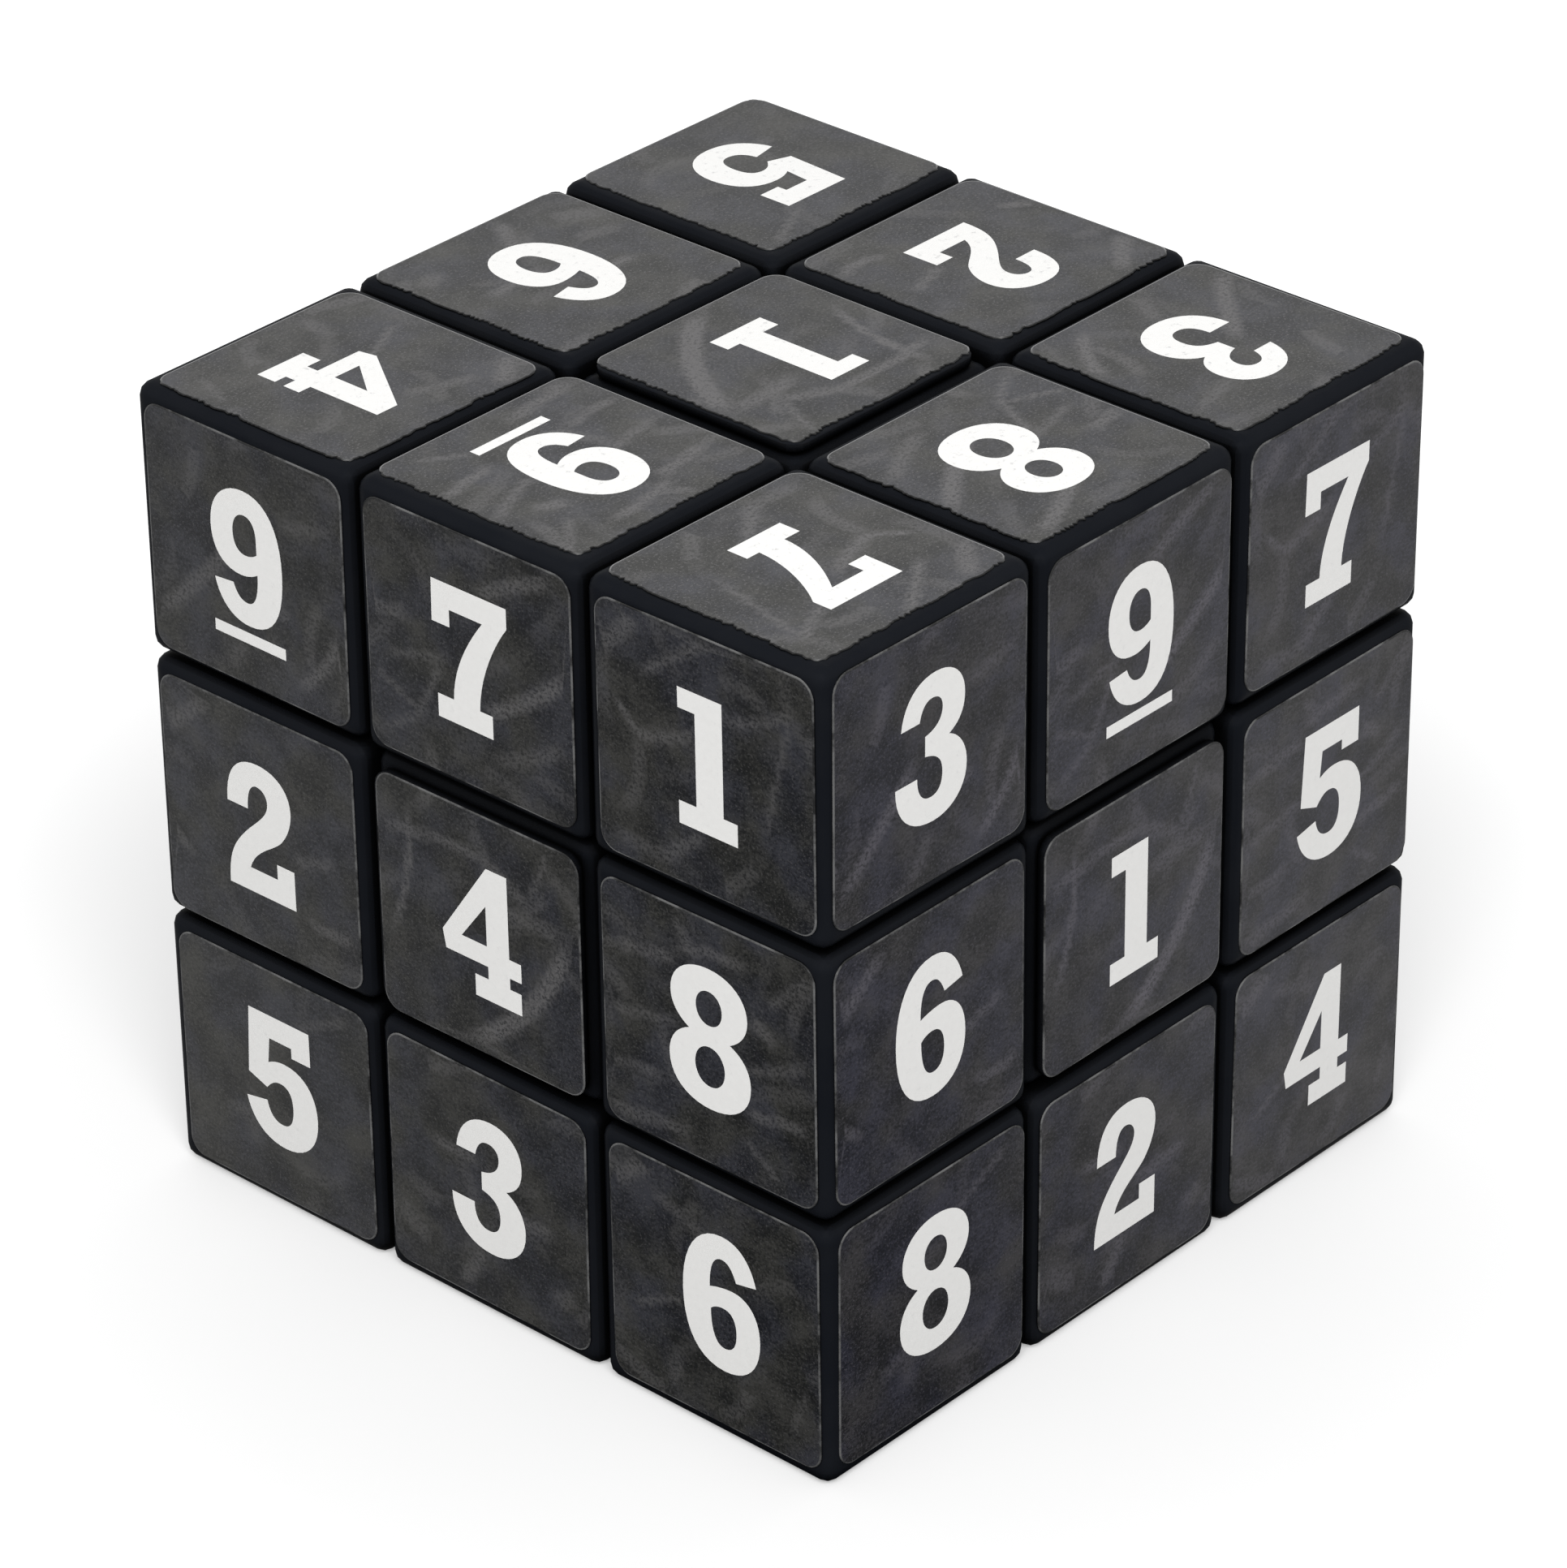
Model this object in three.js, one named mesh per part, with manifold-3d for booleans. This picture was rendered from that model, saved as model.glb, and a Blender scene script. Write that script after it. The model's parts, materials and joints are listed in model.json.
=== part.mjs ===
// Sudoku cube: a 3 by 3 by 3 twisting puzzle on a sprung six-armed core.
// Millimetres, +Z up, origin at the centre of the core.
//
// Every face is a layer that turns about its own axis. Two sets of surfaces part the layers, and both are
// unchanged when a layer turns: outside the running ball the layers meet on the cell planes, and inside it
// they meet on the foot planes, nearer the centre. So a corner's foot reaches under three edges, an edge's
// tongue reaches under two centres, and the six sprung centres hold the whole cube together.

import * as THREE from 'three';
import { mergeVertices } from 'three/addons/utils/BufferGeometryUtils.js';
import Module from 'manifold-3d';

const wasm = await Module();
wasm.setup();

// Driving dimensions: the cube
const CUBIE = 19; // pitch of the cubies, so the cube measures three of them
const RUN_GAP = 0.4; // clearance between pieces that turn past each other
const SEAT_GAP = 0.3; // clearance between pieces that sit on or in each other
const EDGE_ROUND = 0.95; // radius on the moulded edges and corners
const WALL = 1.6; // wall of the hollow cubies and centre hubs

// Driving dimensions: the running ball inside
const FOOT_PLANE = 5.5; // distance from the centre to the planes that part feet, tongues and hubs
const FOOT_NECK = 3.3; // how far the feet reach out past the innermost point of a corner cubie
const BALL_GAP = 0.7; // clearance between the feet and the hollow that they run in
const FOOT_BORE = 1.5; // radius of the hole that cores out a corner foot
const TONGUE_SLOT = 4; // width of the slot that cores out an edge tongue

// Driving dimensions: core, screw, washer and spring
const ARM_RADIUS = 3;
const ARM_END = 10; // distance from the centre to the end of a core arm
const CORE_ROUND = 1.2; // radius on the edges and corners of the core's middle block
const SCREW_RADIUS = 1.2;
const SCREW_TIP = 4.8; // distance from the centre to the point of a screw
const SCREW_POINT = 1.5; // length of the tapered point
const HEAD_RADIUS = 2.8;
const HEAD_HEIGHT = 1.9;
const HEAD_CROWN = 0.6; // height of the rounded top of the head
const RECESS_SPAN = 3.2; // cross recess in the head: span, blade width and depth
const RECESS_WIDTH = 0.7;
const RECESS_DEPTH = 1.1;
const WASHER_THICK = 0.8;
const SPRING_RADIUS = 2.7; // to the middle of the wire
const SPRING_WIRE = 0.7;
const SPRING_LENGTH = 6.6;
const SPRING_CURLS = 4;

// Driving dimensions: centre hub and cap
const HUB_FLOOR = 1.6; // floor that the spring pushes on
const POCKET_PLAY = 0.9; // room round the spring in the hub's tube
const TUBE_DROP = 2.6; // top of the hub's tube, below the rim
const CAP_SIZE = 17.2;
const CAP_CORNER = 1.3;
const CAP_PLATE = 0.5;
const CAP_GAP = 0.25; // gap under the cap plate, all round the rim
const RIM_SEAT = 0.9; // width of rim that the cap plate covers
const SKIRT_DEPTH = 2;
const SKIRT_WALL = 1.2;

// Facets
const ROUND_STEPS = 4; // facets on a rounded corner
const CORE_STEPS = 2;
const BALL_SIDES = 24;
const TUBE_SIDES = 16;
const ARM_SIDES = 12;
const SCREW_SIDES = 10;
const CURL_STEPS = 8;
const WIRE_SIDES = 5;

// Sizes that follow from the driving dimensions
const cellPlane = CUBIE / 2;
const face = 1.5 * CUBIE;
const middleWidth = CUBIE - RUN_GAP;
const outerStart = cellPlane + RUN_GAP / 2;
const outerWidth = face - outerStart;
const outerMiddle = (face + outerStart) / 2;
const footStart = FOOT_PLANE + RUN_GAP / 2;
const hubRadius = FOOT_PLANE - RUN_GAP / 2;
const footBall = cellPlane * Math.sqrt(3) + FOOT_NECK;
const hollowBall = footBall + BALL_GAP;

const floorBottom = ARM_END + SEAT_GAP;
const floorTop = floorBottom + HUB_FLOOR;
const springBottom = floorTop + SEAT_GAP;
const springTop = springBottom + SPRING_LENGTH;
const washerBottom = springTop + SEAT_GAP;
const headBottom = washerBottom + WASHER_THICK + SEAT_GAP;
const headTop = headBottom + HEAD_HEIGHT;
const screwHole = SCREW_RADIUS + SEAT_GAP;
const pocketRadius = SPRING_RADIUS + SPRING_WIRE / 2 + POCKET_PLAY;
const rim = face - CAP_PLATE - CAP_GAP;
const cupWidth = CAP_SIZE - 2 * RIM_SEAT;
const cupFloor = hollowBall + WALL;

const UP = new THREE.Vector3(0, 0, 1);

const blackPlastic = { color: 0x17181b, roughness: 0.42, metalness: 0 };
const corePlastic = { color: 0x24262a, roughness: 0.5, metalness: 0 };
const steel = { color: 0xb4b7ba, roughness: 0.32, metalness: 1 };
const springSteel = { color: 0x9a9da1, roughness: 0.28, metalness: 1 };

// A closed solid from a geometry: shared corners are merged and flat slivers on an axis dropped.
function solidOf(geometry) {
  const bare = geometry.clone();
  bare.deleteAttribute('normal');
  bare.deleteAttribute('uv');
  const merged = mergeVertices(bare);
  const corners = merged.index.array;
  const triangles = [];
  for (let i = 0; i < corners.length; i += 3) {
    const [a, b, c] = [corners[i], corners[i + 1], corners[i + 2]];
    if (a !== b && b !== c && c !== a) triangles.push(a, b, c);
  }
  return new wasm.Manifold(new wasm.Mesh({
    numProp: 3,
    vertProperties: new Float32Array(merged.attributes.position.array),
    triVerts: new Uint32Array(triangles),
  }));
}

function geometryOf(solid) {
  const mesh = solid.getMesh();
  const geometry = new THREE.BufferGeometry();
  geometry.setAttribute('position', new THREE.BufferAttribute(mesh.vertProperties, 3));
  geometry.setIndex(new THREE.BufferAttribute(mesh.triVerts, 1));
  geometry.computeVertexNormals();
  return geometry;
}

// A box between two opposite corners.
function block(low, high) {
  const geometry = new THREE.BoxGeometry(high[0] - low[0], high[1] - low[1], high[2] - low[2]);
  geometry.translate((low[0] + high[0]) / 2, (low[1] + high[1]) / 2, (low[2] + high[2]) / 2);
  return solidOf(geometry);
}

// A rectangle with round corners, as an outline about its middle.
function roundedOutline(width, height, corner) {
  const x = width / 2 - corner;
  const y = height / 2 - corner;
  const quarter = Math.PI / 2;
  const outline = new THREE.Shape();
  outline.absarc(x, -y, corner, -quarter, 0);
  outline.absarc(x, y, corner, 0, quarter);
  outline.absarc(-x, y, corner, quarter, 2 * quarter);
  outline.absarc(-x, -y, corner, 2 * quarter, 3 * quarter);
  return outline;
}

// A prism of a rounded outline, centred on its middle and standing along Z. An arc gets two facets for each
// of its curve segments.
function roundedPrism(width, height, length, corner, steps) {
  const outline = roundedOutline(width, height, corner);
  const options = { depth: length, bevelEnabled: false, curveSegments: steps / 2 };
  return new THREE.ExtrudeGeometry(outline, options).translate(0, 0, -length / 2);
}

// A box with rounded edges and corners: the hull of a small ball in each of its corners.
function roundedBlock(size, middle, radius, steps) {
  const smallBall = wasm.Manifold.sphere(radius, 4 * steps);
  const [x, y, z] = size.map((length) => length / 2 - radius);
  const balls = [];
  for (const signX of [1, -1]) {
    for (const signY of [1, -1]) {
      for (const signZ of [1, -1]) balls.push(smallBall.translate([signX * x, signY * y, signZ * z]));
    }
  }
  return wasm.Manifold.hull(balls).translate(middle);
}

// A round bar on an axis through the centre, between two distances from the centre.
function bar(radius, start, end, axis = UP, sides = TUBE_SIDES) {
  const geometry = new THREE.CylinderGeometry(radius, radius, end - start, sides);
  geometry.translate(0, (start + end) / 2, 0);
  const turn = new THREE.Quaternion().setFromUnitVectors(new THREE.Vector3(0, 1, 0), axis);
  geometry.applyQuaternion(turn);
  return solidOf(geometry);
}

function ball(radius) {
  return solidOf(new THREE.SphereGeometry(radius, BALL_SIDES, BALL_SIDES / 2));
}

// The room that a layer's feet run in, outside the given solid that stands in it.
function runningRoom(standing) {
  return ball(hollowBall).subtract(standing);
}

// Corner cubie at +X +Y +Z: a hollow block and the foot that three edges hold. The foot is cored out.
function cornerCubie() {
  const shell = roundedBlock(
    [outerWidth, outerWidth, outerWidth],
    [outerMiddle, outerMiddle, outerMiddle],
    EDGE_ROUND,
    ROUND_STEPS,
  );
  const foot = block([footStart, footStart, footStart], [face, face, face]).intersect(ball(footBall));
  const hollowStart = outerStart + WALL;
  const hollowEnd = face - WALL;
  const hollow = block([hollowStart, hollowStart, hollowStart], [hollowEnd, hollowEnd, hollowEnd])
    .subtract(ball(footBall));
  const diagonal = new THREE.Vector3(1, 1, 1).normalize();
  const bore = bar(FOOT_BORE, footStart, outerMiddle * Math.sqrt(3), diagonal, SCREW_SIDES);
  return shell.add(foot).subtract(hollow).subtract(bore);
}

// Edge cubie at +Y +Z: a hollow block, relieved at both ends for the corner feet, and the tongue that two
// centres hold. The tongue is cored out by a slot on its diagonal.
function edgeCubie() {
  const shell = roundedBlock(
    [middleWidth, outerWidth, outerWidth],
    [0, outerMiddle, outerMiddle],
    EDGE_ROUND,
    ROUND_STEPS,
  );
  const slab = block([-hubRadius, -face, -face], [hubRadius, face, face]);
  const tongue = block([-hubRadius, footStart, footStart], [hubRadius, face, face])
    .intersect(ball(footBall));
  const hollowEnd = face - WALL;
  const hollowStart = outerStart + WALL;
  const hollowSide = middleWidth / 2 - WALL;
  const hollow = block([-hollowSide, hollowStart, hollowStart], [hollowSide, hollowEnd, hollowEnd])
    .subtract(ball(hollowBall + WALL));
  const slotSide = hubRadius - WALL;
  const slotGeometry = new THREE.BoxGeometry(2 * slotSide, TONGUE_SLOT, outerMiddle * Math.sqrt(2));
  slotGeometry.translate(0, 0, outerMiddle * Math.sqrt(2) / 2);
  slotGeometry.rotateX(-Math.PI / 4);
  return shell.subtract(runningRoom(slab)).add(tongue).subtract(hollow).subtract(solidOf(slotGeometry));
}

// Centre hub on +Z: a square cup whose tube turns on a core arm. Its floor is the spring's seat, and its
// underside is hollowed for the feet and tongues that it holds.
function centreHub() {
  const cup = roundedBlock(
    [middleWidth, middleWidth, rim - outerStart],
    [0, 0, (rim + outerStart) / 2],
    EDGE_ROUND,
    ROUND_STEPS,
  );
  const stem = bar(hubRadius, footStart, cupFloor);
  const tube = bar(hubRadius, 0, rim - TUBE_DROP);
  const cupRoom = block([-cupWidth / 2, -cupWidth / 2, cupFloor], [cupWidth / 2, cupWidth / 2, face])
    .subtract(tube);
  return cup.subtract(ball(hollowBall))
    .add(stem)
    .subtract(cupRoom)
    .subtract(bar(ARM_RADIUS + SEAT_GAP, 0, floorBottom))
    .subtract(bar(screwHole, 0, floorTop + HUB_FLOOR, UP, SCREW_SIDES))
    .subtract(bar(pocketRadius, floorTop, face));
}

// Cap of a centre on +Z: the plate that carries the tile, and the skirt that fits inside the hub's cup.
function centreCap() {
  const prism = roundedPrism(CAP_SIZE, CAP_SIZE, CAP_PLATE, CAP_CORNER, ROUND_STEPS);
  const plate = solidOf(prism.translate(0, 0, face - CAP_PLATE / 2));
  const outer = cupWidth / 2 - SEAT_GAP;
  const inner = outer - SKIRT_WALL;
  const skirtEnd = rim - SKIRT_DEPTH;
  const platePlane = face - CAP_PLATE;
  const skirt = block([-outer, -outer, skirtEnd], [outer, outer, face - CAP_PLATE / 2])
    .subtract(block([-inner, -inner, skirtEnd - SKIRT_DEPTH], [inner, inner, platePlane]));
  return plate.add(skirt);
}

// Core: a rounded block with six arms, each bored for its screw.
function core() {
  const side = 2 * hubRadius;
  let solid = roundedBlock([side, side, side], [0, 0, 0], CORE_ROUND, CORE_STEPS);
  const axes = [new THREE.Vector3(1, 0, 0), new THREE.Vector3(0, 1, 0), UP];
  for (const axis of axes) solid = solid.add(bar(ARM_RADIUS, -ARM_END, ARM_END, axis, ARM_SIDES));
  for (const axis of axes) {
    for (const sign of [1, -1]) {
      const way = axis.clone().multiplyScalar(sign);
      solid = solid.subtract(bar(screwHole, SCREW_TIP - SEAT_GAP, ARM_END + WALL, way, SCREW_SIDES));
    }
  }
  return solid;
}

// Screw on +Z: a pointed shank and a pan head with a cross recess.
function screw() {
  const profile = [
    new THREE.Vector2(0, SCREW_TIP),
    new THREE.Vector2(SCREW_RADIUS, SCREW_TIP + SCREW_POINT),
    new THREE.Vector2(SCREW_RADIUS, headBottom),
    new THREE.Vector2(HEAD_RADIUS, headBottom),
    new THREE.Vector2(HEAD_RADIUS, headTop - HEAD_CROWN),
    new THREE.Vector2(HEAD_RADIUS - HEAD_CROWN, headTop),
    new THREE.Vector2(0, headTop),
  ];
  const geometry = new THREE.LatheGeometry(profile, SCREW_SIDES);
  geometry.rotateX(Math.PI / 2);
  const recessBottom = headTop - RECESS_DEPTH;
  const long = RECESS_SPAN / 2;
  const short = RECESS_WIDTH / 2;
  const blades = block([-long, -short, recessBottom], [long, short, face])
    .add(block([-short, -long, recessBottom], [short, long, face]));
  return solidOf(geometry).subtract(blades);
}

// Washer on +Z, between the spring and the screw head.
function washer() {
  const inner = screwHole;
  const outer = pocketRadius - SEAT_GAP;
  const top = washerBottom + WASHER_THICK;
  const profile = [
    new THREE.Vector2(inner, washerBottom),
    new THREE.Vector2(outer, washerBottom),
    new THREE.Vector2(outer, top),
    new THREE.Vector2(inner, top),
    new THREE.Vector2(inner, washerBottom),
  ];
  const geometry = new THREE.LatheGeometry(profile, SCREW_SIDES);
  geometry.rotateX(Math.PI / 2);
  return solidOf(geometry);
}

// Middle line of the spring's wire: a helix, with an end of one wire diameter square to each seat.
// Each station holds its point, its direction and how much its ring is stretched to mitre a bend.
function springLine() {
  const rise = SPRING_LENGTH - 2 * SPRING_WIRE;
  const steps = SPRING_CURLS * CURL_STEPS;
  const slope = rise / (2 * Math.PI * SPRING_CURLS * SPRING_RADIUS);
  const curls = [];
  for (let i = 0; i <= steps; i += 1) {
    const angle = (2 * Math.PI * i) / CURL_STEPS;
    const radial = new THREE.Vector3(Math.cos(angle), Math.sin(angle), 0);
    const direction = new THREE.Vector3(-Math.sin(angle), Math.cos(angle), slope).normalize();
    const point = radial.clone().multiplyScalar(SPRING_RADIUS);
    point.z = springBottom + SPRING_WIRE + (rise * i) / steps;
    curls.push({ point, radial, direction, stretch: 1 });
  }
  for (const bend of [curls[0], curls[steps]]) {
    bend.direction.add(UP).normalize();
    bend.stretch = 1 / bend.direction.dot(UP);
  }
  const endAt = (curl, z) => ({ ...curl, point: curl.point.clone().setZ(z), direction: UP, stretch: 1 });
  return [endAt(curls[0], springBottom), ...curls, endAt(curls[steps], springTop)];
}

// Least clear distance between the spring's curls, measured on the middle line's points.
function leastCurlGap(stations) {
  let least = Infinity;
  for (let i = 0; i < stations.length; i += 1) {
    for (let j = i + CURL_STEPS - 2; j < stations.length; j += 1) {
      least = Math.min(least, stations[i].point.distanceTo(stations[j].point) - SPRING_WIRE);
    }
  }
  return least;
}

// Spring on +Z: rings of wire along its middle line, joined into one closed tube.
function spring() {
  const stations = springLine();
  const positions = [];
  const triangles = [];
  for (const { point, radial, direction, stretch } of stations) {
    const across = new THREE.Vector3().crossVectors(direction, radial).multiplyScalar(stretch);
    for (let k = 0; k < WIRE_SIDES; k += 1) {
      const angle = (2 * Math.PI * k) / WIRE_SIDES;
      const corner = point.clone()
        .addScaledVector(radial, (SPRING_WIRE / 2) * Math.cos(angle))
        .addScaledVector(across, (SPRING_WIRE / 2) * Math.sin(angle));
      positions.push(corner.x, corner.y, corner.z);
    }
  }
  for (let ring = 0; ring + 1 < stations.length; ring += 1) {
    for (let k = 0; k < WIRE_SIDES; k += 1) {
      const a = ring * WIRE_SIDES + k;
      const b = ring * WIRE_SIDES + ((k + 1) % WIRE_SIDES);
      triangles.push(a, b, b + WIRE_SIDES, a, b + WIRE_SIDES, a + WIRE_SIDES);
    }
  }
  const last = (stations.length - 1) * WIRE_SIDES;
  for (let k = 1; k + 1 < WIRE_SIDES; k += 1) {
    triangles.push(0, k + 1, k, last, last + k, last + k + 1);
  }
  const geometry = new THREE.BufferGeometry();
  geometry.setAttribute('position', new THREE.Float32BufferAttribute(positions, 3));
  geometry.setIndex(triangles);
  console.log(`least gap between the spring's curls: ${leastCurlGap(stations).toFixed(2)} mm`);
  return solidOf(geometry);
}

// The words for a place on the cube, such as top_front for the direction (0, -1, 1).
function placeWords(direction) {
  const words = [];
  if (Math.abs(direction.z) > 0.5) words.push(direction.z > 0 ? 'top' : 'bottom');
  if (Math.abs(direction.y) > 0.5) words.push(direction.y > 0 ? 'back' : 'front');
  if (Math.abs(direction.x) > 0.5) words.push(direction.x > 0 ? 'right' : 'left');
  return words.join('_');
}

// One named piece, with a material of its own.
function piece(name, geometry, finish) {
  const mesh = new THREE.Mesh(geometry, new THREE.MeshStandardMaterial(finish));
  mesh.name = name;
  return mesh;
}

const cube = new THREE.Group();
cube.add(piece('core', geometryOf(core()), corePlastic));

const QUARTER = Math.PI / 2;

// The six faces: each group points +Z along its face's axis and holds what is stacked on that core arm.
const stack = [
  ['screw', geometryOf(screw()), steel],
  ['spring', geometryOf(spring()), springSteel],
  ['washer', geometryOf(washer()), steel],
  ['centre_hub', geometryOf(centreHub()), blackPlastic],
  ['centre_cap', geometryOf(centreCap()), blackPlastic],
];
const faceTurns = [[0, 0], [2 * QUARTER, 0], [QUARTER, 0], [QUARTER, 1], [QUARTER, 2], [QUARTER, 3]];
for (const [tilt, quarter] of faceTurns) {
  const arm = new THREE.Group();
  arm.rotation.set(tilt, 0, quarter * QUARTER, 'ZYX');
  const place = placeWords(UP.clone().applyEuler(arm.rotation));
  for (const [word, geometry, finish] of stack) arm.add(piece(`${place}_${word}`, geometry, finish));
  cube.add(arm);
}

// Four copies of a cubie round the Z axis, from the place where it was modelled and a tilt.
function ringOfCubies(word, geometry, home, tiltX, tiltY) {
  for (let quarter = 0; quarter < 4; quarter += 1) {
    const turn = new THREE.Euler(tiltX, tiltY, quarter * QUARTER, 'ZYX');
    const mesh = piece(`${placeWords(home.clone().applyEuler(turn))}_${word}`, geometry, blackPlastic);
    mesh.rotation.copy(turn);
    cube.add(mesh);
  }
}

const edgeGeometry = geometryOf(edgeCubie());
const edgeHome = new THREE.Vector3(0, 1, 1);
ringOfCubies('edge', edgeGeometry, edgeHome, 0, 0);
ringOfCubies('edge', edgeGeometry, edgeHome, 0, QUARTER);
ringOfCubies('edge', edgeGeometry, edgeHome, 2 * QUARTER, 0);

const cornerGeometry = geometryOf(cornerCubie());
const cornerHome = new THREE.Vector3(1, 1, 1);
ringOfCubies('corner', cornerGeometry, cornerHome, 0, 0);
ringOfCubies('corner', cornerGeometry, cornerHome, 2 * QUARTER, 0);

export default cube;
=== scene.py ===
import json
import math

import bpy
import numpy as np
from mathutils import Matrix, Vector
from mathutils.geometry import delaunay_2d_cdt

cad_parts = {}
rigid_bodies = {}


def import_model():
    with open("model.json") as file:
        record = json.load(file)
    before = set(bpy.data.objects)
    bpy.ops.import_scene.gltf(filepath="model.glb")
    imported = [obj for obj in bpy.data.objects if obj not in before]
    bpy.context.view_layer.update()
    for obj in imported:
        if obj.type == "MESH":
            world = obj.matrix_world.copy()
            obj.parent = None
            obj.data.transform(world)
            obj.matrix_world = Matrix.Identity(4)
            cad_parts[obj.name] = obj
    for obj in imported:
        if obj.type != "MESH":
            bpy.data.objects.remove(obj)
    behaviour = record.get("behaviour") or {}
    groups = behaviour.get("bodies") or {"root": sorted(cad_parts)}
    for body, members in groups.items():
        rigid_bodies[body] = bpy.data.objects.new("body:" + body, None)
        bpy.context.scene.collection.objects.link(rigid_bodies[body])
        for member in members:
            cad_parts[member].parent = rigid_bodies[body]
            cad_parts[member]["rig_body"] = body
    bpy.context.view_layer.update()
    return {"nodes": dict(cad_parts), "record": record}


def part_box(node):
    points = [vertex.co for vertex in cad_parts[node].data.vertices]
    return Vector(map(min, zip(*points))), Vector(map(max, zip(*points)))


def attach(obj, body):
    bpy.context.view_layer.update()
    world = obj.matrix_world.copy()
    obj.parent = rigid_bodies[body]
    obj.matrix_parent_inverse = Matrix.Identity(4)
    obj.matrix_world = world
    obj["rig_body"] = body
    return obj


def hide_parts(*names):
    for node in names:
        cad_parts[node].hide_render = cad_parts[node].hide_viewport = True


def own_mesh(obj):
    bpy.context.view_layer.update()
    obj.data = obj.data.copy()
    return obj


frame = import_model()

# Sudoku cube: black plastic cubies, a printed slate label on every tile, and a white studio.
# Labels, springs and the camera's place are given in millimetres, and pieces are made in metres in the frame.

MM = 0.001
DRAW = np.random.default_rng(54)
TEAR = np.random.default_rng(9)

# Sizes taken from the frame
cap_low, cap_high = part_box("top_centre_cap")
edge_low, edge_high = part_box("top_front_edge")
spring_low, spring_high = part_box("top_spring")
FACE = cap_high.z / MM  # from the cube's middle to a face
PITCH = FACE / 1.5
GROOVE = PITCH - (edge_high.x - edge_low.x) / MM
OUTER_TILE = PITCH + GROOVE / 4  # from a face's middle to the middle of an outer tile
LABEL = (cap_high.x - cap_low.x) / MM
SEAT = spring_low.z / MM
WASHER = spring_high.z / MM

# The springs
SPRING_WIRE = 0.7
SPRING_RADIUS = spring_high.x / MM - SPRING_WIRE / 2  # to the middle of the wire
SPRING_CURLS = 4
FLAT_CURL = 0.6  # share of a curl that lies flat at each end
CURL_STEPS = 36
WIRE_SIDES = 12

# The labels
FILM = 0.08
FILM_BEVEL = 0.04
LABEL_CORNER = 1.3
CORNER_STEPS = 8
RIM_WIDTH = 0.07
CURVE_STEPS = 10
PRINT_GRID = 0.4
SHIFT = 0.2  # furthest that a label sits off its tile's middle, each way
DRIFT = 0.4  # furthest that a digit of an unseen face sits off it, each way
TWIST = 0.35  # furthest that a label is turned, in degrees
FILM_SLOT, INK_SLOT, RIM_SLOT = range(3)

# The wear: all of it on top, where the labels are torn along two edges
TOP_WEAR, SIDE_WEAR = 1.0, 0.25
BITE = 0.45  # deepest bite out of a torn edge
LEAST_BITE = 0.1  # shallowest tooth in a run, as a share of the run's depth
BITE_STEPS = 80  # points along each side of a torn label
BITE_RUN = 8  # points from one drawn depth to the next
TORN_FROM = 0.5  # share of the way out to the front or right where a torn edge starts
TORN_SLOPE = 2.2

# The digits of each face, row by row, with the ways that read right and up on it
FACES = {
    "front": ((1, 0, 0), (0, 0, 1), ("971", "248", "536")),
    "right": ((0, 1, 0), (0, 0, 1), ("397", "615", "824")),
    "top": ((0, -1, 0), (1, 0, 0), ("387", "219", "564")),
    "back": ((-1, 0, 0), (0, 0, 1), ("462", "753", "918")),
    "left": ((0, -1, 0), (0, 0, 1), ("825", "169", "374")),
    "bottom": ((1, 0, 0), (0, -1, 0), ("643", "897", "251")),
}

# How much cooler than neutral the print of a face is, and of the faces that the photograph doesn't show
COOL = {"front": 0.1, "right": 1.0, "top": 0.2}
COOL_UNSEEN = 0.4

# How far the digits in the photograph sit off the middles of their tiles, right and up, row by row
PLACED = {
    "front": ((0.15, -0.3), (0.25, -0.05), (0.4, 0), (0, -0.3), (0.3, 0),
              (0.2, 0.05), (0.6, 0.05), (0.05, 0.25), (0.8, 0.4)),
    "right": ((0, 0.45), (0.2, -0.3), (0.15, -0.1), (0, 0.3), (0.05, 0),
              (0.5, -0.25), (0.45, 0.75), (-0.3, 0.1), (0, 0.3)),
    "top": ((0.35, 0), (0.85, 0.2), (0.15, -0.1), (0, 0.25), (-0.95, -0.45),
            (-0.4, -0.5), (-0.35, -0.6), (0.15, -0.25), (0.55, 0.5)),
}

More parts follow.
